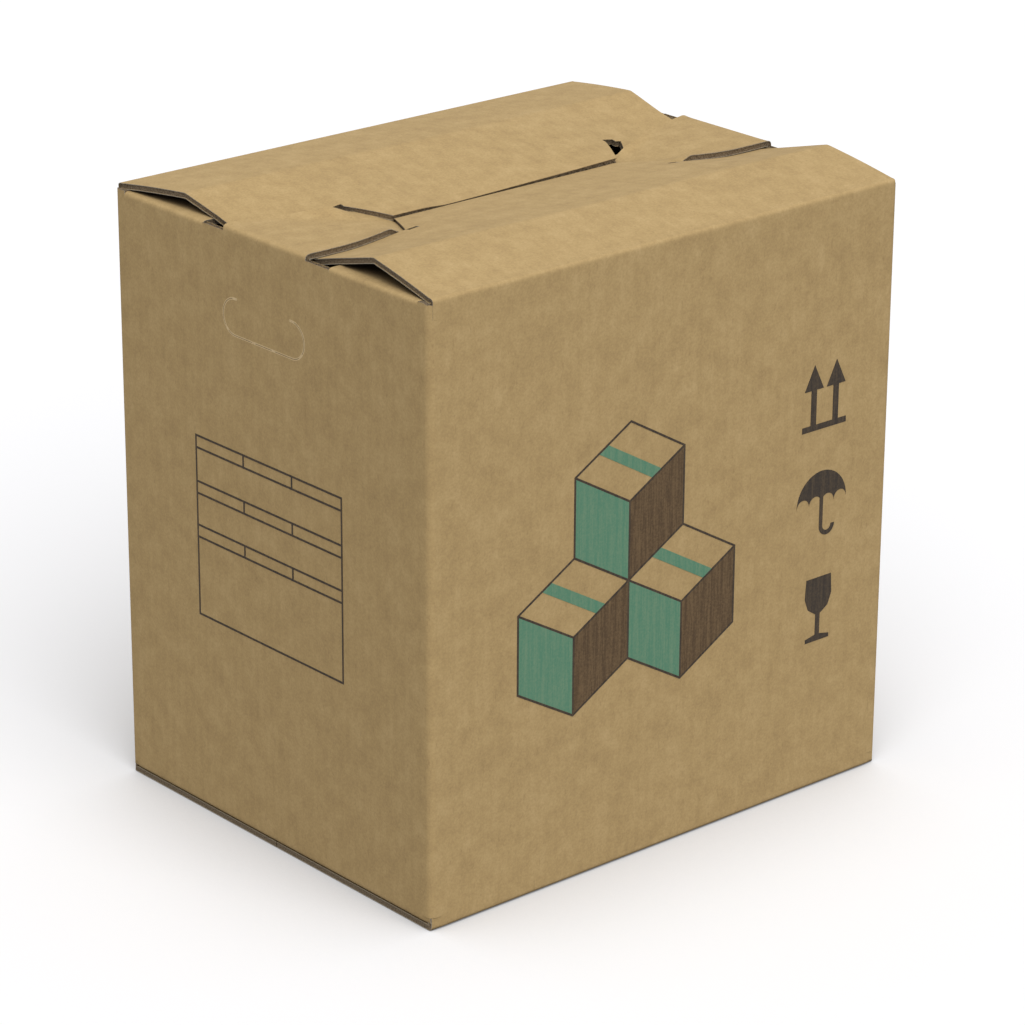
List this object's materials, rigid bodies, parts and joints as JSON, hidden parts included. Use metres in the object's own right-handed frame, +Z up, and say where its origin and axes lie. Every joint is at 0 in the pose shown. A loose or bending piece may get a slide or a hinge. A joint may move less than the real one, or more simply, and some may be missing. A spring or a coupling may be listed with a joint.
{
  "type": "moving box",
  "caption": "Closed corrugated moving carton with self-locking top flaps, die-cut hand holes, an empty label form and a plain print of stacked cartons.",
  "frame": {"origin": "on the floor, under the middle of the box", "axes": "+Z up, X along the long walls, the printed long wall faces -Y and the short wall with the form faces -X"},
  "size_m": [0.4002, 0.3202, 0.4303],
  "materials": {
    "kraft_board": "matte uncoated kraft liner",
    "green_ink": "matte flexo ink",
    "brown_ink": "matte flexo ink",
    "dark_ink": "matte flexo ink"
  },
  "bodies": {
    "root": {"carton": "kraft_board", "form_print": "dark_ink", "stack_outline_print": "dark_ink", "up_arrows_print": "dark_ink", "umbrella_print": "dark_ink", "glass_print": "dark_ink", "green_side_print_1": "green_ink", "green_side_print_2": "green_ink", "green_side_print_3": "green_ink", "tape_print_1": "green_ink", "tape_print_2": "green_ink", "tape_print_3": "green_ink", "brown_side_print_1": "brown_ink", "brown_side_print_2": "brown_ink", "brown_side_print_3": "brown_ink"}
  },
  "joints": []
}
